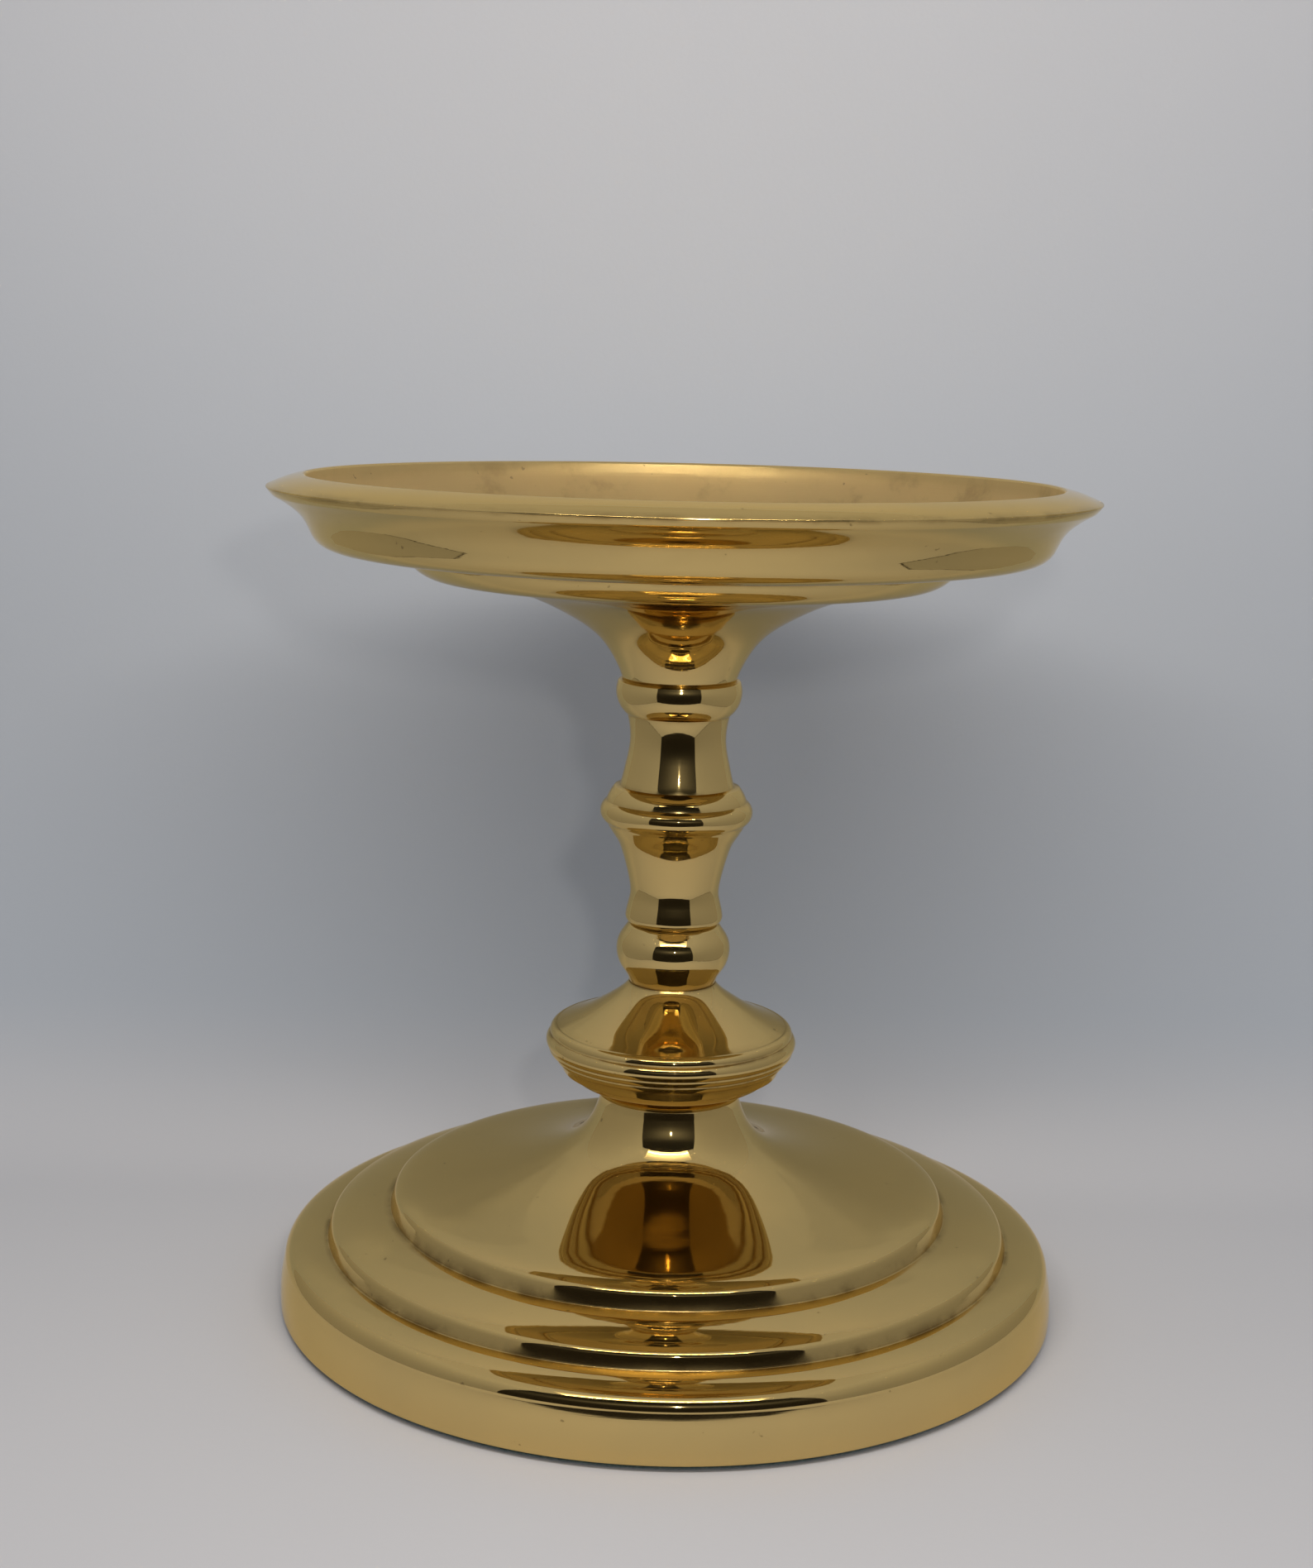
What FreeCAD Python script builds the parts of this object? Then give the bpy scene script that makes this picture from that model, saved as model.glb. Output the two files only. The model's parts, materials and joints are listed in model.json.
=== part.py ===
import FreeCAD, Part
import math
import os

# Pillar candle holder in turned and cast brass, in millimetres.
# +Z is up.  The origin is the centre of the felt's underside, so the holder stands on Z = 0.
# Every brass piece is a turning about the Z axis, stacked on one steel tie rod and clamped by a nut
# under the base.  Heights inside a piece's own function are measured up from the seat it stands on.

# Driving dimensions: how tall each piece in the stack is.
FELT_THICKNESS = 1.0
BASE_HEIGHT = 33.4
KNOP_HEIGHT = 18.4
BALL_HEIGHT = 9.7
STEM_HEIGHT = 39.0
DISH_HEIGHT = 31.0

# Driving dimensions: the two widest rims.
BASE_RADIUS = 62.3
DISH_RADIUS = 63.5

# Heights of the seats where one piece stands on the next.
BASE_SEAT = FELT_THICKNESS
KNOP_SEAT = BASE_SEAT + BASE_HEIGHT
BALL_SEAT = KNOP_SEAT + KNOP_HEIGHT
STEM_SEAT = BALL_SEAT + BALL_HEIGHT
DISH_SEAT = STEM_SEAT + STEM_HEIGHT

# M6 tie rod and its hardware.
ROD_RADIUS = 3.0
THREAD_CLEARANCE = 0.05
DRILLED_RADIUS = 3.3
THREAD_ENGAGEMENT = 12.0
ROD_PROJECTION = 3.0
ROD_CHAMFER = 0.6
TAPPED_DEPTH = 15.0
WASHER_RADIUS = 6.0
WASHER_BORE = 3.2
WASHER_THICKNESS = 1.6
SPRING_WASHER_RADIUS = 5.4
SPRING_WASHER_BORE = 3.1
SPRING_WASHER_GAP = 0.9
NUT_ACROSS_FLATS = 10.0
NUT_THICKNESS = 5.0
NUT_CHAMFER = 0.6

# Locating registers: a spigot on top of each piece sits in a recess under the next.
REGISTER_CLEARANCE = 0.1
SPIGOT_HEIGHT = 1.6
RECESS_DEPTH = 2.0
BASE_SPIGOT_RADIUS = 8.0
SLIM_SPIGOT_RADIUS = 5.0
STEM_SPIGOT_RADIUS = 6.0

# Wall of the base casting and of the dish.
BASE_WALL = 2.8
WEB_THICKNESS = 4.0
WEB_UNDERSIDE = KNOP_SEAT - WEB_THICKNESS
CAVITY_TOP_RADIUS = 8.6
DISH_WALL = 2.6

# Radii where the pieces meet.
BASE_TOP_RADIUS = 11.1
KNOP_FOOT_RADIUS = 11.5
BALL_END_RADIUS = 6.85
STEM_FOOT_RADIUS = 7.0
STEM_TOP_RADIUS = 9.2
NECK_FOOT_RADIUS = 8.95

FELT_RADIUS = BASE_RADIUS - 0.8

# How far round its shoulder a step of the base rolls, from upright, before it eases into the ledge.
SHOULDER_ROLL = math.radians(62)

# How far the middle of a quarter round lies in from each of its two edges, as a share of its radius.
QUARTER_ROUND_MIDDLE = 1 - math.sqrt(0.5)


def at(radius, height):
    """A point of a half section: radius along X, height along Z."""
    return FreeCAD.Vector(radius, 0, height)


class HalfSection:
    """The closed half section of a turned piece, walked edge by edge and then spun about Z."""

    def __init__(self, radius, height):
        self.first = at(radius, height)
        self.last = self.first
        self.edges = []

    def line(self, radius, height):
        end = at(radius, height)
        self.edges.append(Part.LineSegment(self.last, end).toShape())
        self.last = end

    def arc(self, middle, end):
        """A circular arc through a middle point to an end point."""
        self.edges.append(Part.Arc(self.last, at(*middle), at(*end)).toShape())
        self.last = at(*end)

    def curve(self, *points, leave=None, arrive=None):
        """A smooth curve through the points, with optional directions at its two ends."""
        spline = Part.BSplineCurve()
        through = [self.last] + [at(*point) for point in points]
        if leave and arrive:
            spline.interpolate(Points=through, InitialTangent=at(*leave), FinalTangent=at(*arrive))
        else:
            spline.interpolate(Points=through)
        self.edges.append(spline.toShape())
        self.last = through[-1]

    def turned(self, seat):
        """The solid of revolution, standing on a seat at the given height."""
        if self.last.distanceToPoint(self.first) > 1e-6:
            self.line(self.first.x, self.first.z)
        face = Part.Face(Part.Wire(self.edges))
        solid = face.revolve(FreeCAD.Vector(0, 0, 0), FreeCAD.Vector(0, 0, 1), 360)
        solid.translate(FreeCAD.Vector(0, 0, seat))
        return solid


def start_over_recess(recess_radius, bore_radius, foot_radius):
    """Begin a half section inside a piece's underside recess and walk out to its foot."""
    section = HalfSection(bore_radius, RECESS_DEPTH)
    section.line(recess_radius + REGISTER_CLEARANCE, RECESS_DEPTH)
    section.line(recess_radius + REGISTER_CLEARANCE, 0)
    section.line(foot_radius, 0)
    return section


def finish_with_spigot(section, spigot_radius, height):
    """Walk in over a piece's top seat, up its locating spigot and to the drilled hole."""
    section.line(spigot_radius, height)
    section.line(spigot_radius, height + SPIGOT_HEIGHT)
    section.line(DRILLED_RADIUS, height + SPIGOT_HEIGHT)


def step_up(section, radius, foot, riser):
    """A raised step on the base: a tiny cove at its foot, a face leaning inwards and a rolled shoulder."""
    cove = 0.25
    lean = math.radians(15)
    shoulder = 1.3
    middle = QUARTER_ROUND_MIDDLE * cove
    section.line(radius + cove, foot)
    section.arc((radius + middle, foot + middle), (radius, foot + cove))
    section.line(radius - riser * math.tan(lean), foot + riser)
    centre = section.last - shoulder * at(math.cos(lean), math.sin(lean))
    rolled = []
    for angle in (SHOULDER_ROLL / 2, SHOULDER_ROLL):
        point = centre + shoulder * at(math.cos(angle), math.sin(angle))
        rolled.append((point.x, point.z))
    section.arc(*rolled)


def make_felt_pad():
    section = HalfSection(0, 0)
    section.line(FELT_RADIUS, 0)
    section.line(FELT_RADIUS, FELT_THICKNESS)
    section.line(0, FELT_THICKNESS)
    return section.turned(0)


def make_base():
    """Hollow cast base: side band, two raised steps, and a broad cone sweeping up to a neck."""
    step_radius_outer = 54.75
    step_radius_inner = 44.75
    foot_round = 0.5
    leaving_shoulder = (-math.sin(SHOULDER_ROLL), math.cos(SHOULDER_ROLL))
    section = HalfSection(BASE_RADIUS - BASE_WALL, 0)
    section.line(BASE_RADIUS - foot_round, 0)
    foot_middle = QUARTER_ROUND_MIDDLE * foot_round
    section.arc((BASE_RADIUS - foot_middle, foot_middle), (BASE_RADIUS, foot_round))
    section.arc((62.2, 4.2), (61.6, 7.4))
    section.arc((61.1, 8.8), (60.0, 9.6))
    section.curve((57.6, 10.25), (55.6, 10.5), leave=leaving_shoulder, arrive=(-1, 0.06))
    step_up(section, step_radius_outer, 10.55, 1.65)
    section.curve((50.6, 14.0), (46.0, 14.8), leave=leaving_shoulder, arrive=(-1, 0.1))
    step_up(section, step_radius_inner, 14.95, 2.0)
    section.curve(
        (40.4, 18.55), (35.0, 19.3), (27.0, 20.8), (20.6, 22.7), (16.9, 24.4), (14.55, 26.2),
        (13.1, 28.0), (12.1, 29.9), (11.4, 31.8), (BASE_TOP_RADIUS, BASE_HEIGHT),
        leave=leaving_shoulder, arrive=(-0.08, 1),
    )
    finish_with_spigot(section, BASE_SPIGOT_RADIUS, BASE_HEIGHT)
    web = BASE_HEIGHT - WEB_THICKNESS
    section.line(DRILLED_RADIUS, web)
    section.line(CAVITY_TOP_RADIUS, web)
    section.curve(
        (11.6, 25.0), (17.0, 20.8), (25.0, 18.2), (41.2, 15.4),
        leave=(0.12, -1), arrive=(1, -0.06),
    )
    section.line(step_radius_inner - BASE_WALL, 11.8)
    section.line(step_radius_outer - BASE_WALL, 11.1)
    section.line(step_radius_outer - BASE_WALL, 7.4)
    section.line(BASE_RADIUS - BASE_WALL - 1.2, 6.4)
    section.line(BASE_RADIUS - BASE_WALL, 5.0)
    return section.turned(BASE_SEAT)


def make_knop():
    """Flattened knop: a bowl below, two fine fillets and two turned beads, and a hollow cone above."""
    section = start_over_recess(BASE_SPIGOT_RADIUS, DRILLED_RADIUS, KNOP_FOOT_RADIUS)
    section.curve(
        (12.0, 1.0), (13.4, 1.8), (15.5, 2.7), (17.0, 3.9), (17.8, 5.3),
        leave=(0.2, 1), arrive=(0.3, 1),
    )
    section.arc((18.5, 5.8), (18.7, 6.5))
    section.arc((19.4, 6.9), (19.65, 7.7))
    section.arc((20.05, 8.7), (19.4, 9.9))
    section.arc((19.3, 10.7), (18.3, 11.3))
    section.curve(
        (16.0, 12.2), (12.2, 14.2), (9.2, 16.2), (BALL_END_RADIUS + 0.1, KNOP_HEIGHT),
        leave=(-1, 0.4), arrive=(-0.62, 1),
    )
    finish_with_spigot(section, SLIM_SPIGOT_RADIUS, KNOP_HEIGHT)
    return section.turned(KNOP_SEAT)


def make_ball():
    """Rounded collar, fuller above than below."""
    section = start_over_recess(SLIM_SPIGOT_RADIUS, DRILLED_RADIUS, BALL_END_RADIUS)
    section.curve(
        (7.3, 1.2), (8.25, 2.6), (9.05, 5.6), (8.8, 7.0), (8.3, 8.0), (7.6, 9.0), (BALL_END_RADIUS, BALL_HEIGHT),
        leave=(0.3, 1), arrive=(-1, 0.5),
    )
    finish_with_spigot(section, SLIM_SPIGOT_RADIUS, BALL_HEIGHT)
    return section.turned(BALL_SEAT)


def make_stem():
    """Baluster: a waisted spindle with a foot lip, a collar of beads, a second waist and a top bead."""
    section = start_over_recess(SLIM_SPIGOT_RADIUS, DRILLED_RADIUS, STEM_FOOT_RADIUS)
    section.arc((7.6, 0.6), (7.7, 1.5))
    section.curve(
        (7.05, 4.7), (7.38, 7.5), (8.1, 10.3), (8.95, 12.8), (9.8, 14.2),
        leave=(-0.12, 1), arrive=(0.7, 1),
    )
    section.arc((10.5, 15.3), (11.1, 16.3))
    section.arc((12.05, 18.1), (11.1, 19.8))
    section.arc((10.6, 21.0), (9.9, 22.0))
    section.line(9.05, 22.2)
    section.curve(
        (8.5, 24.2), (8.0, 26.4), (7.56, 29.3), (7.64, 31.2), (8.05, 33.4),
        leave=(-0.38, 1), arrive=(0.26, 1),
    )
    section.arc((9.72, 35.9), (9.7, 38.5))
    section.arc((9.55, 38.85), (STEM_TOP_RADIUS, STEM_HEIGHT))
    finish_with_spigot(section, STEM_SPIGOT_RADIUS, STEM_HEIGHT)
    return section.turned(STEM_SEAT)


def make_candle_dish():
    """Candle dish cast in one with its trumpet neck, and tapped from below for the tie rod."""
    section = HalfSection(0, TAPPED_DEPTH)
    section.line(ROD_RADIUS + THREAD_CLEARANCE, TAPPED_DEPTH)
    section.line(ROD_RADIUS + THREAD_CLEARANCE, RECESS_DEPTH)
    section.line(STEM_SPIGOT_RADIUS + REGISTER_CLEARANCE, RECESS_DEPTH)
    section.line(STEM_SPIGOT_RADIUS + REGISTER_CLEARANCE, 0)
    section.line(NECK_FOOT_RADIUS, 0)
    section.curve(
        (9.8, 2.2), (12.5, 6.3), (17.4, 9.9), (22.0, 12.2), (27.0, 13.9), (32.5, 15.0), (38.0, 15.5),
        leave=(0.25, 1), arrive=(1, 0.08),
    )
    section.arc((40.8, 16.55), (42.7, 18.9))
    section.line(51.0, 19.6)
    section.curve(
        (54.0, 19.95), (56.0, 20.95), (56.95, 22.3), (57.6, 23.7), (58.5, 25.0), (59.9, 26.25),
        (61.8, 27.5), (63.35, 28.9),
        leave=(1, 0.06), arrive=(0.6, 1),
    )
    section.arc((DISH_RADIUS, 29.1), (DISH_RADIUS - 0.2, 29.3))
    section.arc((61.0, 30.3), (58.3, DISH_HEIGHT))
    section.arc((57.9, DISH_HEIGHT - 0.05), (57.6, DISH_HEIGHT - 0.35))
    section.curve((56.4, 27.2), (53.6, 23.6), (50.6, 22.6), leave=(-0.1, -1), arrive=(-1, -0.05))
    section.line(0, 22.6)
    return section.turned(DISH_SEAT)


def make_tie_rod():
    """M6 rod from below the nut up into the dish's neck, with chamfered ends."""
    top = DISH_SEAT + THREAD_ENGAGEMENT
    bottom = WEB_UNDERSIDE - 2 * WASHER_THICKNESS - NUT_THICKNESS - ROD_PROJECTION
    section = HalfSection(0, bottom)
    section.line(ROD_RADIUS - ROD_CHAMFER, bottom)
    section.line(ROD_RADIUS, bottom + ROD_CHAMFER)
    section.line(ROD_RADIUS, top - ROD_CHAMFER)
    section.line(ROD_RADIUS - ROD_CHAMFER, top)
    section.line(0, top)
    return section.turned(0)


def make_ring(radius, bore, thickness, top):
    """A flat ring whose upper face is at the given height."""
    section = HalfSection(bore, -thickness)
    section.line(radius, -thickness)
    section.line(radius, 0)
    section.line(bore, 0)
    return section.turned(top)


def make_flat_washer():
    return make_ring(WASHER_RADIUS, WASHER_BORE, WASHER_THICKNESS, WEB_UNDERSIDE)


def make_spring_washer():
    """Split spring washer, pressed flat by the nut, with its slanting gap."""
    top = WEB_UNDERSIDE - WASHER_THICKNESS
    ring = make_ring(SPRING_WASHER_RADIUS, SPRING_WASHER_BORE, WASHER_THICKNESS, top)
    gap_height = 3 * WASHER_THICKNESS
    gap = Part.makeBox(
        2 * SPRING_WASHER_RADIUS, SPRING_WASHER_GAP, gap_height,
        FreeCAD.Vector(0, -SPRING_WASHER_GAP / 2, -gap_height / 2),
    )
    gap.rotate(FreeCAD.Vector(0, 0, 0), FreeCAD.Vector(1, 0, 0), 30)
    gap.translate(FreeCAD.Vector(0, 0, top - WASHER_THICKNESS / 2))
    return ring.cut(gap)


def make_hex_nut():
    """M6 nut with both ends of its corners turned off and a chamfered thread mouth."""
    top = WEB_UNDERSIDE - 2 * WASHER_THICKNESS
    bottom = top - NUT_THICKNESS
    corner_radius = NUT_ACROSS_FLATS / math.sqrt(3)
    corners = []
    for index in range(7):
        angle = math.radians(60 * index)
        corner = FreeCAD.Vector(corner_radius * math.cos(angle), corner_radius * math.sin(angle), bottom)
        corners.append(corner)
    hexagon = Part.Face(Part.makePolygon(corners)).extrude(FreeCAD.Vector(0, 0, NUT_THICKNESS))
    bore = ROD_RADIUS + THREAD_CLEARANCE
    section = HalfSection(bore + 0.35, 0)
    section.line(NUT_ACROSS_FLATS / 2 - 0.1, 0)
    section.line(corner_radius + 0.1, NUT_CHAMFER)
    section.line(corner_radius + 0.1, NUT_THICKNESS - NUT_CHAMFER)
    section.line(NUT_ACROSS_FLATS / 2 - 0.1, NUT_THICKNESS)
    section.line(bore + 0.35, NUT_THICKNESS)
    section.line(bore, NUT_THICKNESS - 0.35)
    section.line(bore, 0.35)
    return hexagon.common(section.turned(bottom))


PIECES = {
    "felt_pad": make_felt_pad,
    "base": make_base,
    "knop": make_knop,
    "ball_collar": make_ball,
    "stem": make_stem,
    "candle_dish": make_candle_dish,
    "tie_rod": make_tie_rod,
    "flat_washer": make_flat_washer,
    "spring_washer": make_spring_washer,
    "hex_nut": make_hex_nut,
}

os.makedirs("parts", exist_ok=True)
for name, make in PIECES.items():
    make().exportStep(f"parts/{name}.step")
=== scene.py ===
import json
import math

import bpy
import numpy as np
from mathutils import Matrix, Vector, noise


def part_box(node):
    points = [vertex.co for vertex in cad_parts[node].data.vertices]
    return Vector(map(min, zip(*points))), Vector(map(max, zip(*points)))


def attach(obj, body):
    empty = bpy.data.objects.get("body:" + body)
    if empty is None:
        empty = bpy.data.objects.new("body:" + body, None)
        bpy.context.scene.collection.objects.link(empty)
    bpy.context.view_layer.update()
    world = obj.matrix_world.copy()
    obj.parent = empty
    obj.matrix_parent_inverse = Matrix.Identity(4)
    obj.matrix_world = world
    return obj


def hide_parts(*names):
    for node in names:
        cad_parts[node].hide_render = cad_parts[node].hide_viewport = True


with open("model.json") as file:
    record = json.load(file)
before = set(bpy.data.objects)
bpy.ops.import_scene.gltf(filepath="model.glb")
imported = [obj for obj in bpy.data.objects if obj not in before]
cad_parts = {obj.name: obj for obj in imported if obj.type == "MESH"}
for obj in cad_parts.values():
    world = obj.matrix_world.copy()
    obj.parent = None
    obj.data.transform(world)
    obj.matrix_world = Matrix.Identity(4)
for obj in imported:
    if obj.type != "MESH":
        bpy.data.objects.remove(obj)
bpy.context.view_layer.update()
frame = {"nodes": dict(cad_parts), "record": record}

# Everything is in metres, in the holder's own frame: +Z up, standing on Z = 0.
MM = 0.001

BRASS_PIECES = {"base": 208, "knop": 144, "ball_collar": 112, "stem": 128, "candle_dish": 208}
HARDWARE = ("flat_washer", "spring_washer", "hex_nut")
SEAMS = [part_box(name)[0].z for name in ("knop", "ball_collar", "stem", "candle_dish")]
SEAT_HEIGHT = next(m["pos_m"][2] for m in frame["record"]["mounts"] if m["name"] == "candle_seat")
DISH_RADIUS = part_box("candle_dish")[1].x
CREST_RADIUS = DISH_RADIUS - 5.2 * MM

# The small photo box round the holder: half width, back wall, open front, top, and top of the opening.
BOX_HALF_WIDTH = 0.168
BOX_BACK = 0.120
BOX_FRONT = -0.200
BOX_TOP = 0.290
OPENING_TOP = 0.255
BACKDROP_CURVE = 0.080
CORNER_LINE = 2.2 * MM
SHEET_GAP = 1.0 * MM

# The lamps over the opening: a slanted glowing strip and a row of bright beads just in front of it.
STRIP_HALF_LENGTH = 0.118
STRIP_DEPTH = 0.070
BEAD_COUNT = 23
BEAD_SPACING = 10.0 * MM
BEAD_HALF_SIZE = 3.2 * MM
BEAD_PLACE = (BOX_FRONT + 18 * MM, OPENING_TOP + 5 * MM)

# The paper's colour on the floor, low on the backdrop with painted shade, and high on it with painted light.
FLOOR_PAPER = (0.665, 0.635, 0.620)
LOW_PAPER_PAINTED_SHADE = (0.540, 0.553, 0.572)
HIGH_PAPER_PAINTED_LIGHT = (0.700, 0.680, 0.675)

# What the brass mirrors, each as its light low down and high up.
SIDE_GLOW = (0.29, 0.285, 0.28), (0.48, 0.48, 0.485)
CEILING_GLOW = (0.47, 0.465, 0.465), (0.47, 0.465, 0.465)
DARK_ROOM = (0.015, 0.013, 0.011), (0.010, 0.010, 0.010)
CORNER_SHADE = (0.05, 0.045, 0.04), (0.05, 0.045, 0.04)
STRIP_GLOW = (3.7, 3.4, 2.6), (0.85, 0.80, 0.70)
BEAD_GLOW = (55.0, 51.0, 42.0), (55.0, 51.0, 42.0)

# Brass: its two slightly different tones, and what they turn to where it is satin, dull, tarnished or
# specked, the painted shade on faces that look down, and the tint it takes at a grazing angle.
BRASS_TONE = (0.705, 0.510, 0.200, 1)
DEEPER_TONE = (0.655, 0.480, 0.195, 1)
SATIN_TONE = (0.610, 0.455, 0.235, 1)
DULL_TONE = (0.36, 0.25, 0.11, 1)
TARNISH_TONE = (0.16, 0.095, 0.030, 1)
SPECK_TONE = (0.20, 0.13, 0.05, 1)
# Painted shade for faces that look down.
UNDERSIDE_PAINTED_SHADE = (0.36, 0.24, 0.085, 1)
EDGE_TINT = (1.0, 0.90, 0.66, 1)

# Camera: distance in front of the holder's axis, height above the floor, lens and its three turns.
CAMERA_DISTANCE = 0.3460
CAMERA_HEIGHT = 0.1494
CAMERA_LENS = 51.26
CAMERA_PITCH = math.radians(10.59)
CAMERA_YAW = math.radians(-0.536)
CAMERA_ROLL = math.radians(1.308)


# ---------------------------------------------------------------- materials

class Shader:
    """A node material that is written as nested calls: each call adds a node and returns its output."""

    def __init__(self, name):
        self.material = bpy.data.materials.new(name)
        self.material.use_nodes = True
        self.tree = self.material.node_tree
        self.tree.nodes.clear()

    def add(self, kind, settings=None, output=0, **inputs):
        node = self.tree.nodes.new("ShaderNode" + kind)
        for key, value in (settings or {}).items():
            setattr(node, key, value)
        for key, value in inputs.items():
            by_number = key[0] == "i" and key[1:].isdigit()
            socket = node.inputs[int(key[1:]) if by_number else key.replace("_", " ")]
            if isinstance(value, bpy.types.NodeSocket):
                self.tree.links.new(value, socket)
            else:
                socket.default_value = value
        return node.outputs[output]

    def math(self, operation, a, b=0.0):
        return self.add("Math", {"operation": operation}, i0=a, i1=b)

    def plus(self, a, b):
        return self.math("ADD", a, b)

    def times(self, a, b):
        return self.math("MULTIPLY", a, b)

    def split(self, vector):
        """The vector's three parts, each as an output."""
        node = self.tree.nodes.new("ShaderNodeSeparateXYZ")
        self.tree.links.new(vector, node.inputs[0])
        return node.outputs

    def ramp(self, value, low, high):
        """0 below low, 1 above high and a smooth rise between them."""
        return self.add("MapRange", {"interpolation_type": "SMOOTHSTEP"}, Value=value,
                        From_Min=low, From_Max=high)

    def mix(self, factor, a, b):
        node = self.tree.nodes.new("ShaderNodeMix")
        node.data_type = "RGBA"
        for index, value in ((0, factor), (6, a), (7, b)):
            if isinstance(value, bpy.types.NodeSocket):
                self.tree.links.new(value, node.inputs[index])
            else:
                node.inputs[index].default_value = value
        return node.outputs[2]

    def noise(self, vector, scale, detail=2.0, roughness=0.5):
        return self.add("TexNoise", Vector=vector, Scale=scale, Detail=detail, Roughness=roughness)

    def round_about_z(self, place, around, along):
        """Coordinates that run round the axis slowly and across it fast, for turning and brushing lines."""
        x, y, z = self.split(place)
        angle = self.math("ARCTAN2", y, x)
        radius = self.math("SQRT", self.plus(self.times(x, x), self.times(y, y)))
        swept = self.add("CombineXYZ", X=self.times(angle, around), Y=self.times(radius, along),
                         Z=self.times(z, along))
        return swept, radius, z

    def finish(self, surface):
        end = self.tree.nodes.new("ShaderNodeOutputMaterial")
        self.tree.links.new(surface, end.inputs["Surface"])
        return self.material


def make_brass():
    """Polished, lacquered brass: mirror bright, with faint turning lines, smudges, tarnish in the grooves
    and a few dark specks. The inside of the dish is satin from a circular brushing and a little stained,
    and faces that look down are darkened with a painted shade."""
    s = Shader("polished_brass")
    place = s.add("TexCoord", output=3)
    lines, radius, height = s.round_about_z(place, 1.6, 5200.0)
    groove = s.add("Attribute", {"attribute_name": "groove"}, output=2)
    upward = s.split(s.add("NewGeometry", output=1))[2]
    inside = s.times(s.ramp(radius, CREST_RADIUS, CREST_RADIUS - 1.2 * MM),
                    s.ramp(height, SEAT_HEIGHT - 0.4 * MM, SEAT_HEIGHT - 0.2 * MM))
    inside = s.times(inside, s.ramp(upward, -0.10, 0.05))
    # Painted shade: faces that look down, from the knop up and less above the ball collar, are darkened as if
    # in shadow and made a little rougher.
    painted_underside_shade = s.times(s.ramp(upward, -0.45, -0.92), s.ramp(height, SEAMS[0], SEAMS[0] + 2 * MM))
    above_knop = s.ramp(height, SEAMS[1], SEAMS[1] + 2 * MM)
    painted_underside_shade = s.times(painted_underside_shade, s.math("SUBTRACT", 1.0, s.times(above_knop, 0.7)))
    patches = s.noise(place, 38.0, 4.0)
    clouds = s.noise(place, 110.0, 5.0, 0.62)
    grain = s.noise(lines, 1.0, 2.0)
    specks = s.ramp(s.noise(place, 620.0, 2.0), 0.735, 0.775)
    dull_spots = s.times(s.ramp(clouds, 0.52, 0.70), inside)

    tone = s.mix(s.ramp(patches, 0.35, 0.68), BRASS_TONE, DEEPER_TONE)
    tone = s.mix(s.times(inside, 0.60), tone, SATIN_TONE)
    tone = s.mix(s.times(dull_spots, 0.45), tone, DULL_TONE)
    patchy = s.times(s.ramp(clouds, 0.42, 0.62), 0.55)
    tarnish = s.times(groove, s.plus(0.20, patchy))
    tone = s.mix(tarnish, tone, TARNISH_TONE)
    tone = s.mix(s.times(specks, 0.55), tone, SPECK_TONE)
    # Painted shade on the faces that look down.
    tone = s.mix(s.times(painted_underside_shade, 0.60), tone, UNDERSIDE_PAINTED_SHADE)

    smudge = s.ramp(s.noise(place, 64.0, 3.0), 0.40, 0.78)
    polish = s.plus(0.015, s.times(smudge, 0.035))
    polish = s.plus(polish, s.times(groove, 0.22))
    polish = s.plus(polish, s.times(inside, 0.58))
    polish = s.plus(polish, s.times(painted_underside_shade, 0.06))

    wave = s.add("Bump", Strength=0.10, Distance=0.0004, Height=s.noise(place, 95.0, 1.0))
    line_depth = s.plus(0.035, s.times(inside, 0.30))
    turned_lines = s.add("Bump", Strength=line_depth, Distance=0.00004, Height=grain, Normal=wave)
    tangent = s.add("Tangent", {"direction_type": "RADIAL", "axis": "Z"})
    mirror = s.add("BsdfPrincipled", Base_Color=tone, Metallic=1.0, Roughness=polish, Specular_Tint=EDGE_TINT,
                   Normal=turned_lines)
    haze = s.add("BsdfPrincipled", Base_Color=tone, Metallic=1.0, Roughness=0.34, Anisotropic=0.88,
                 Tangent=tangent, Normal=turned_lines)
    share = s.plus(0.040, s.times(inside, 0.20))
    return s.finish(s.add("MixShader", i0=share, i1=mirror, i2=haze))


def make_steel():
    """Bright zinc plate with a fine crystalline mottle and a little dirt."""
    s = Shader("zinc_plated_steel")
    place = s.add("TexCoord", output=3)
    mottle = s.noise(place, 900.0, 3.0)
    tone = s.mix(s.ramp(mottle, 0.35, 0.7), (0.56, 0.57, 0.58, 1), (0.70, 0.70, 0.68, 1))
    dirt = s.times(s.ramp(s.noise(place, 160.0, 4.0), 0.55, 0.75), 0.5)
    tone = s.mix(dirt, tone, (0.24, 0.22, 0.18, 1))
    bump = s.add("Bump", Strength=0.15, Distance=0.00005, Height=mottle)
    rough = s.plus(0.24, s.times(mottle, 0.16))
    return s.finish(s.add("BsdfPrincipled", Base_Color=tone, Metallic=1.0, Roughness=rough, Normal=bump))


def make_felt():
    """Pressed wool felt, dark bottle green, matted from short fibres."""
    s = Shader("green_felt")
    place = s.add("TexCoord", output=3)
    fibres = s.noise(place, 2600.0, 6.0, 0.7)
    matted = s.noise(place, 420.0, 3.0)
    tone = s.mix(s.ramp(fibres, 0.35, 0.68), (0.010, 0.026, 0.024, 1), (0.040, 0.080, 0.072, 1))
    tone = s.mix(s.times(s.ramp(matted, 0.45, 0.7), 0.4), tone, (0.050, 0.070, 0.066, 1))
    bump = s.add("Bump", Strength=0.9, Distance=0.00015, Height=s.plus(fibres, matted))
    return s.finish(s.add("BsdfPrincipled", Base_Color=tone, Roughness=0.95, Sheen_Weight=0.6,
                          Sheen_Roughness=0.5, Normal=bump))


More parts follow.
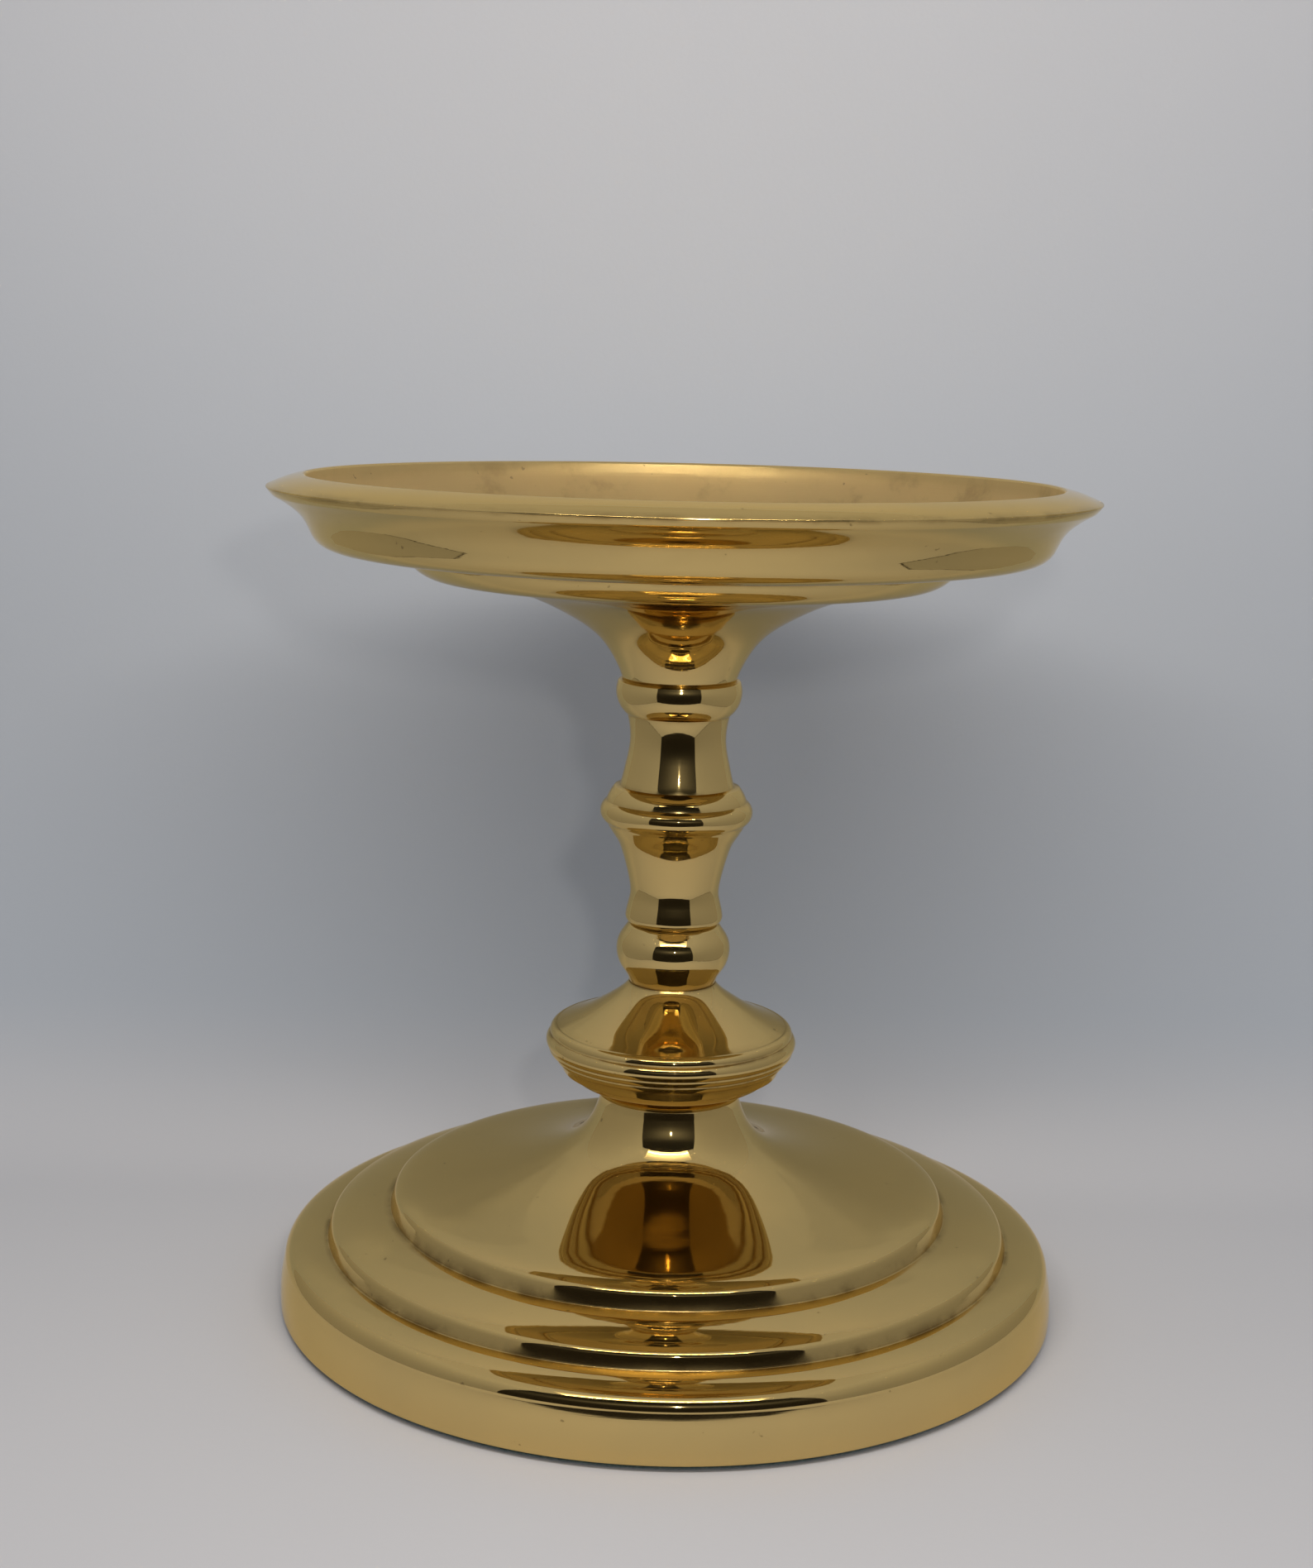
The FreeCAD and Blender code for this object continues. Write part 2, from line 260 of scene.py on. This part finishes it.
def make_paper(name, colour, higher=()):
    """Matt paper that is clear to the camera from behind, so that every view sees into the box. Higher up its
    colour turns, between two heights, to each of the colours in higher, which paint light and shade by
    height."""
    s = Shader(name)
    place = s.add("TexCoord", output=3)
    tone = (*colour, 1)
    height = s.split(place)[2]
    for low, high, next_colour in higher:
        tone = s.mix(s.ramp(height, low, high), tone, (*next_colour, 1))
    unevenness = s.times(s.ramp(s.noise(place, 9.0, 4.0), 0.3, 0.7), 0.05)
    tone = s.mix(unevenness, tone, (0.45, 0.44, 0.45, 1))
    bump = s.add("Bump", Strength=0.12, Distance=0.0002, Height=s.noise(place, 900.0, 4.0))
    paper = s.add("BsdfDiffuse", Color=tone, Normal=bump)
    behind = s.add("NewGeometry", output=6)
    seen = s.add("LightPath", output=0)
    clear = s.add("BsdfTransparent")
    return s.finish(s.add("MixShader", i0=s.times(behind, seen), i1=paper, i2=clear))


def make_glow(name, colours, bottom=0.0, top=1.0):
    """A surface that only shines, shading from one colour at its bottom height to another at its top."""
    s = Shader(name)
    height = s.split(s.add("TexCoord", output=3))[2]
    low, high = colours
    shade = s.mix(s.ramp(height, bottom, top), (*low, 1), (*high, 1))
    s.material.cycles.emission_sampling = "NONE"
    return s.finish(s.add("Emission", Color=shade))


# ---------------------------------------------------------------- turned brass

CORNER = math.radians(30)
FINEST_TURN = math.radians(5)
LONGEST_STEP = 4 * MM
MUCH_LONGER = 3
GROOVE_REACH = 0.38 * MM
SEAM_REACH = 0.22 * MM
FULL_GROOVE = math.radians(70)
TOUCH = 1e-6


def cut_outline(node):
    """A turned node's outline, in order, where its mesh meets the XZ half plane, as (radius, height) points.
    Flat rings and discs have no edge there, so the loose ends they leave are joined at their height."""
    mesh = frame["nodes"][node].data
    spots = {}
    for vertex in mesh.vertices:
        if abs(vertex.co.y) < TOUCH and vertex.co.x > -TOUCH:
            spots[vertex.index] = (round(max(vertex.co.x, 0.0), 6), round(vertex.co.z, 6))
    near = {spot: set() for spot in spots.values()}
    for edge in mesh.edges:
        a, b = (spots.get(index) for index in edge.vertices)
        if a and b and a != b:
            near[a].add(b)
            near[b].add(a)
    loose = sorted((spot for spot in near if len(near[spot]) == 1), key=lambda spot: (spot[1], spot[0]))
    poles = []
    while loose:
        spot = loose.pop(0)
        if loose and abs(loose[0][1] - spot[1]) < TOUCH:
            partner = loose.pop(0)
        else:
            partner = (0.0, spot[1])
            near[partner] = set()
            poles.append(partner)
        near[spot].add(partner)
        near[partner].add(spot)
    here = poles[0] if poles else next(spot for spot in near if len(near[spot]) == 2)
    outline, last = [here], None
    while True:
        onward = [spot for spot in near[here] if spot != last]
        if not onward or onward[0] == outline[0]:
            break
        last, here = here, onward[0]
        outline.append(here)
    points = [Vector(spot) for spot in outline]
    doubled_area = sum(a.x * b.y - b.x * a.y for a, b in zip(points, points[1:] + points[:1]))
    if doubled_area < 0:
        points.reverse()
    return points, not poles


def direction_at(before, here, after):
    """The outline's direction at a point: that of the circle through it and its neighbours, or of the
    longer side where a straight stretch meets a round one."""
    a, b = here - before, after - here
    if a.length > MUCH_LONGER * b.length:
        return a.normalized()
    if b.length > MUCH_LONGER * a.length:
        return b.normalized()
    return (a * (b.length / a.length) + b * (a.length / b.length)).normalized()


def smooth_stretches(points, closed):
    """Short outline pieces as (start, its direction, end, its direction), rounded between the corners."""
    count = len(points)
    sides = count if closed else count - 1
    corner = []
    for i in range(count):
        if not closed and i in (0, count - 1):
            corner.append(True)
            continue
        a, b = points[i] - points[i - 1], points[(i + 1) % count] - points[i]
        corner.append(a.angle(b) > CORNER)
    stretches = []
    for i in range(sides):
        j = (i + 1) % count
        start, end = points[i], points[j]
        chord = (end - start).normalized()
        leave = None if corner[i] else direction_at(points[i - 1], start, end)
        arrive = None if corner[j] else direction_at(start, end, points[(j + 1) % count])
        leave = leave or (chord if arrive is None else 2 * chord.dot(arrive) * chord - arrive)
        arrive = arrive or 2 * chord.dot(leave) * chord - leave
        length = (end - start).length
        pieces = max(1, math.ceil(leave.angle(arrive, 0.0) / FINEST_TURN), math.ceil(length / LONGEST_STEP))
        spots = []
        for k in range(pieces + 1):
            t = k / pieces
            spot = ((2 * t**3 - 3 * t**2 + 1) * start + (t**3 - 2 * t**2 + t) * length * leave
                    + (3 * t**2 - 2 * t**3) * end + (t**3 - t**2) * length * arrive)
            slope = ((6 * t**2 - 6 * t) * start + (3 * t**2 - 4 * t + 1) * length * leave
                     + (6 * t - 6 * t**2) * end + (3 * t**2 - 2 * t) * length * arrive)
            spots.append((spot, slope.normalized()))
        for (p, d), (q, e) in zip(spots, spots[1:]):
            stretches.append((p, d, q, e))
    return stretches


def groove_weights(rings, closed):
    """How deep in a groove or seam each ring of the outline lies, from 0 to 1."""
    spots = np.array([tuple(ring) for ring in rings])
    count = len(rings)
    inward = np.zeros(count)
    for i in range(count):
        if not closed and i in (0, count - 1):
            continue
        a, b = rings[i] - rings[i - 1], rings[(i + 1) % count] - rings[i]
        turn = math.atan2(a.x * b.y - a.y * b.x, a.dot(b))
        inward[i] = max(0.0, -turn)
    weights = []
    for x, z in spots:
        close = np.exp(-((spots[:, 0] - x) ** 2 + (spots[:, 1] - z) ** 2) / GROOVE_REACH**2)
        seam = max(math.exp(-(((z - height) / SEAM_REACH) ** 2)) for height in SEAMS)
        weights.append(min(1.0, max((close * inward).sum() / FULL_GROOVE, 0.9 * seam)))
    return weights


def turn_piece(node, steps):
    """The node's outline turned again finely enough for a mirror finish, with exact normals."""
    points, closed = cut_outline(node)
    stretches = smooth_stretches(points, closed)
    rings = [stretch[0] for stretch in stretches]
    if not closed:
        rings.append(stretches[-1][2])
    weights = groove_weights(rings, closed)
    angles = [2 * math.pi * j / steps for j in range(steps)]
    cosines, sines = [math.cos(a) for a in angles], [math.sin(a) for a in angles]
    vertices, first, groove = [], [], []
    for ring, weight in zip(rings, weights):
        first.append(len(vertices))
        around = steps if ring.x > TOUCH else 1
        for j in range(around):
            vertices.append((ring.x * cosines[j], ring.x * sines[j], ring.y))
        groove += [weight] * around
    faces, normals = [], []
    for k, (start, leave, end, arrive) in enumerate(stretches):
        a, b = first[k], first[(k + 1) % len(rings)]
        low = [(leave.y * cosines[j], leave.y * sines[j], -leave.x) for j in range(steps)]
        high = [(arrive.y * cosines[j], arrive.y * sines[j], -arrive.x) for j in range(steps)]
        for j in range(steps):
            n = (j + 1) % steps
            if start.x <= TOUCH:
                faces.append((a, b + n, b + j))
                normals += [low[j], high[n], high[j]]
            elif end.x <= TOUCH:
                faces.append((a + j, a + n, b))
                normals += [low[j], low[n], high[j]]
            else:
                faces.append((a + j, a + n, b + n, b + j))
                normals += [low[j], low[n], high[n], high[j]]
    mesh = bpy.data.meshes.new("turned_" + node)
    mesh.from_pydata(vertices, [], faces)
    mesh.polygons.foreach_set("use_smooth", [True] * len(faces))
    mesh.normals_split_custom_set(normals)
    mesh.attributes.new("groove", "FLOAT", "POINT").data.foreach_set("value", groove)
    return add_piece("turned_" + node, mesh)


def add_piece(name, mesh):
    piece = bpy.data.objects.new(name, mesh)
    bpy.context.scene.collection.objects.link(piece)
    return piece


# ---------------------------------------------------------------- threaded rod and felt

PITCH = 1.0 * MM
THREAD_DEPTH = 0.55 * MM
THREADED_LENGTH = 16.0 * MM


def make_rod():
    """The tie rod with a rolled M6 thread on both ends and a plain shank between them."""
    low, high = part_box("tie_rod")
    outer = high.x
    around, per_pitch = 40, 10
    rows = round((high.z - low.z) / PITCH * per_pitch)
    vertices = [(0, 0, low.z)]
    for i in range(rows + 1):
        z = low.z + (high.z - low.z) * i / rows
        from_end = min(z - low.z, high.z - z)
        for j in range(around):
            turn = j / around
            place = (z / PITCH - turn) % 1.0
            flank = min(1.0, max(0.0, (abs(place - 0.5) - 0.09) / 0.32))
            radius = outer - THREAD_DEPTH * flank
            if from_end > THREADED_LENGTH:
                radius = outer - 0.12 * MM
            radius = min(radius, outer - 0.6 * MM + from_end)
            angle = 2 * math.pi * turn
            vertices.append((radius * math.cos(angle), radius * math.sin(angle), z))
    vertices.append((0, 0, high.z))
    faces = []
    for i in range(rows):
        a = 1 + i * around
        for j in range(around):
            n = (j + 1) % around
            faces.append((a + j, a + n, a + around + n, a + around + j))
    top, end = 1 + rows * around, len(vertices) - 1
    for j in range(around):
        n = (j + 1) % around
        faces.append((0, 1 + n, 1 + j))
        faces.append((top + j, top + n, end))
    mesh = bpy.data.meshes.new("threaded_rod")
    mesh.from_pydata(vertices, [], faces)
    mesh.polygons.foreach_set("use_smooth", [True] * len(faces))
    mesh.set_sharp_from_angle(angle=math.radians(42))
    return add_piece("threaded_rod", mesh)


def make_felt_disc():
    """The felt pad: a cut disc whose edge is a little ragged and squashed outwards under the weight."""
    low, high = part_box("felt_pad")
    radius, thickness = high.x, high.z - low.z
    around = 480
    profile = [(0.0, 0.0), (0.25, 0.0), (0.55, 0.0), (0.80, 0.0), (0.94, 0.0), (0.985, 0.0),
               (0.9945, 0.10), (0.9985, 0.30), (1.0, 0.55), (0.998, 0.80), (0.993, 0.97),
               (0.985, 1.0), (0.80, 1.0), (0.40, 1.0), (0.0, 1.0)]
    vertices = [(0, 0, low.z)]
    for share, level in profile[1:-1]:
        for j in range(around):
            angle = 2 * math.pi * j / around
            spot = Vector((math.cos(angle), math.sin(angle), level))
            ragged = 0.10 * MM * noise.noise(spot * 60) + 0.07 * MM * noise.noise(spot * 210)
            r = radius * share
            if share > 0.99:
                r += ragged - 0.12 * MM
            vertices.append((r * spot.x, r * spot.y, low.z + thickness * level))
    vertices.append((0, 0, high.z))
    rings = len(profile) - 2
    faces = []
    for i in range(rings - 1):
        a = 1 + i * around
        for j in range(around):
            n = (j + 1) % around
            faces.append((a + j, a + n, a + around + n, a + around + j))
    last, end = 1 + (rings - 1) * around, len(vertices) - 1
    for j in range(around):
        n = (j + 1) % around
        faces.append((0, 1 + n, 1 + j))
        faces.append((last + j, last + n, end))
    mesh = bpy.data.meshes.new("felt_disc")
    mesh.from_pydata(vertices, [], faces)
    mesh.polygons.foreach_set("use_smooth", [True] * len(faces))
    return add_piece("felt_disc", mesh)


# ---------------------------------------------------------------- the photo box

def sheet(name, corners, material, reflected_only=True):
    mesh = bpy.data.meshes.new(name)
    mesh.from_pydata([Vector(corner) for corner in corners], [], [tuple(range(len(corners)))])
    mesh.materials.append(material)
    piece = add_piece(name, mesh)
    if reflected_only:
        only_reflected(piece)
    return piece


def only_reflected(piece):
    piece.visible_camera = False
    piece.visible_diffuse = False
    piece.visible_shadow = False
    piece.visible_transmission = False


def make_floor_and_backdrop():
    far = 6.0
    sheet("floor", [(-far, -far, 0), (far, -far, 0), (far, far, 0), (-far, far, 0)],
          make_paper("floor_paper", FLOOR_PAPER), reflected_only=False)
    start = BOX_BACK - BACKDROP_CURVE
    lift = 0.0001
    outline = [(start - 0.005, lift)]
    for step in range(33):
        angle = math.radians(90 * step / 32)
        outline.append((start + BACKDROP_CURVE * math.sin(angle),
                        lift + BACKDROP_CURVE * (1 - math.cos(angle))))
    outline.append((BOX_BACK, 1.2))
    half = 2.0
    vertices = [(x, y, z) for y, z in outline for x in (-half, half)]
    faces = [(2 * i, 2 * i + 1, 2 * i + 3, 2 * i + 2) for i in range(len(outline) - 1)]
    mesh = bpy.data.meshes.new("backdrop")
    mesh.from_pydata(vertices, [], faces)
    mesh.polygons.foreach_set("use_smooth", [True] * len(faces))
    # Painted shade and light on the backdrop: darker just above the floor, lighter towards the top.
    higher = ((0.0, 0.024, LOW_PAPER_PAINTED_SHADE), (0.08, 0.29, HIGH_PAPER_PAINTED_LIGHT))
    mesh.materials.append(make_paper("backdrop_paper", FLOOR_PAPER, higher))
    piece = add_piece("backdrop", mesh)
    piece.visible_shadow = False
    piece.visible_diffuse = False


def make_reflected_box():
    """Side walls, ceiling, dark open front and its lamps, which only the brass sees."""
    w, front, back, top, gap = BOX_HALF_WIDTH, BOX_FRONT, BOX_BACK + 0.25, BOX_TOP, OPENING_TOP
    near = front + SHEET_GAP
    side = make_glow("side_glow", SIDE_GLOW, 0.0, top)
    ceiling = make_glow("ceiling_glow", CEILING_GLOW)
    sheet("side_left", [(-w, front, 0), (-w, back, 0), (-w, back, top), (-w, front, top)], side)
    sheet("side_right", [(w, front, 0), (w, front, top), (w, back, top), (w, back, 0)], side)
    sheet("ceiling", [(-w, front, top), (w, front, top), (w, back, top), (-w, back, top)], ceiling)
    sheet("front_above", [(-w, front, gap), (w, front, gap), (w, front, top), (-w, front, top)], ceiling)
    sheet("open_front", [(-w, front, 0), (w, front, 0), (w, front, gap), (-w, front, gap)],
          make_glow("dark_room", DARK_ROOM, 0.0, gap))
    corner = make_glow("box_corners", CORNER_SHADE)
    for name, sign in (("left", -1), ("right", 1)):
        x, inner, line = sign * w, sign * (w - CORNER_LINE), CORNER_LINE
        sheet("floor_corner_" + name,
              [(inner, front, line), (inner, back, line), (x, back, line), (x, front, line)], corner)
        sheet("front_corner_" + name, [(inner, near, 0), (x, near, 0), (x, near, top), (inner, near, top)],
              corner)
    half, low, high, deep = STRIP_HALF_LENGTH, gap - 2 * MM, top - 1 * MM, near + STRIP_DEPTH
    sheet("lamp_strip", [(-half, near, low), (half, near, low), (half, deep, high), (-half, deep, high)],
          make_glow("lamp_strip", STRIP_GLOW, gap, top - 4 * MM))
    make_lamp_row(make_glow("small_lamps", BEAD_GLOW))


def make_lamp_row(glow):
    y, z = BEAD_PLACE
    vertices, faces = [], []
    for i in range(BEAD_COUNT):
        x = (i - (BEAD_COUNT - 1) / 2) * BEAD_SPACING
        vertices += [(x + across * BEAD_HALF_SIZE, y, z + up * BEAD_HALF_SIZE)
                     for across, up in ((-1, -1), (1, -1), (1, 1), (-1, 1))]
        faces.append((4 * i, 4 * i + 1, 4 * i + 2, 4 * i + 3))
    mesh = bpy.data.meshes.new("lamp_row")
    mesh.from_pydata(vertices, [], faces)
    mesh.materials.append(glow)
    row = add_piece("lamp_row", mesh)
    only_reflected(row)


def area_light(name, place, aim, size, power, colour, reflected=False, lighting=True):
    data = bpy.data.lights.new(name, "AREA")
    data.shape = "RECTANGLE"
    data.size, data.size_y = size
    data.energy = power
    data.color = colour
    light = bpy.data.objects.new(name, data)
    light.location = place
    light.rotation_euler = (Vector(aim) - Vector(place)).to_track_quat("-Z", "Y").to_euler()
    light.visible_glossy = reflected
    light.visible_diffuse = lighting
    light.visible_camera = False
    bpy.context.scene.collection.objects.link(light)


def make_lights():
    """The box's lamp strip, a small lamp beside the lens for the crisp shadow, and that lamp's glint."""
    over_opening = (0, BOX_FRONT + 6 * MM, OPENING_TOP)
    beside_lens = (0.024, -CAMERA_DISTANCE + 0.01, CAMERA_HEIGHT + 0.034)
    foot_of_backdrop, middle = (0, BOX_BACK, 0.12), (0, 0, 0.07)
    area_light("strip", over_opening, foot_of_backdrop, (0.26, 0.03), 0.52, (1.0, 0.975, 0.95))
    area_light("lamp", beside_lens, middle, (0.014, 0.014), 0.135, (1.0, 0.98, 0.95))
    area_light("glint", beside_lens, middle, (0.006, 0.006), 0.34, (1.0, 0.97, 0.90), True, False)


def make_room():
    """Even light from all round, which the camera sees as plain pale grey."""
    world = bpy.data.worlds.new("room")
    world.use_nodes = True
    tree = world.node_tree
    tree.nodes.clear()
    room = tree.nodes.new("ShaderNodeBackground")
    room.inputs["Color"].default_value = (0.80, 0.87, 0.97, 1)
    room.inputs["Strength"].default_value = 0.43
    seen = tree.nodes.new("ShaderNodeBackground")
    seen.inputs["Color"].default_value = (0.47, 0.465, 0.47, 1)
    path = tree.nodes.new("ShaderNodeLightPath")
    mix = tree.nodes.new("ShaderNodeMixShader")
    out = tree.nodes.new("ShaderNodeOutputWorld")
    tree.links.new(path.outputs["Is Camera Ray"], mix.inputs[0])
    tree.links.new(room.outputs[0], mix.inputs[1])
    tree.links.new(seen.outputs[0], mix.inputs[2])
    tree.links.new(mix.outputs[0], out.inputs[0])
    bpy.context.scene.world = world


def make_camera():
    data = bpy.data.cameras.new("camera")
    data.lens = CAMERA_LENS
    data.sensor_width = 36
    data.clip_start = 0.01
    camera = bpy.data.objects.new("camera", data)
    turn = (Matrix.Rotation(-CAMERA_YAW, 4, "Z") @ Matrix.Rotation(math.pi / 2 - CAMERA_PITCH, 4, "X")
            @ Matrix.Rotation(CAMERA_ROLL, 4, "Z"))
    camera.matrix_world = Matrix.Translation((0, -CAMERA_DISTANCE, CAMERA_HEIGHT)) @ turn
    bpy.context.scene.collection.objects.link(camera)
    bpy.context.scene.camera = camera


# ---------------------------------------------------------------- assembly

def place(piece, node, body, slot, material):
    piece.data.materials.append(material)
    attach(piece, body)
    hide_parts(node)


brass, steel, felt = make_brass(), make_steel(), make_felt()
for node, steps in BRASS_PIECES.items():
    body = "dish" if node == "candle_dish" else "column"
    place(turn_piece(node, steps), node, body, "brass", brass)
place(make_rod(), "tie_rod", "column", "steel", steel)
place(make_felt_disc(), "felt_pad", "column", "felt", felt)
for node in HARDWARE:
    frame["nodes"][node].data.materials.clear()
    frame["nodes"][node].data.materials.append(steel)

make_floor_and_backdrop()
make_reflected_box()
make_lights()
make_room()
make_camera()
bpy.context.scene.view_settings.view_transform = "Standard"
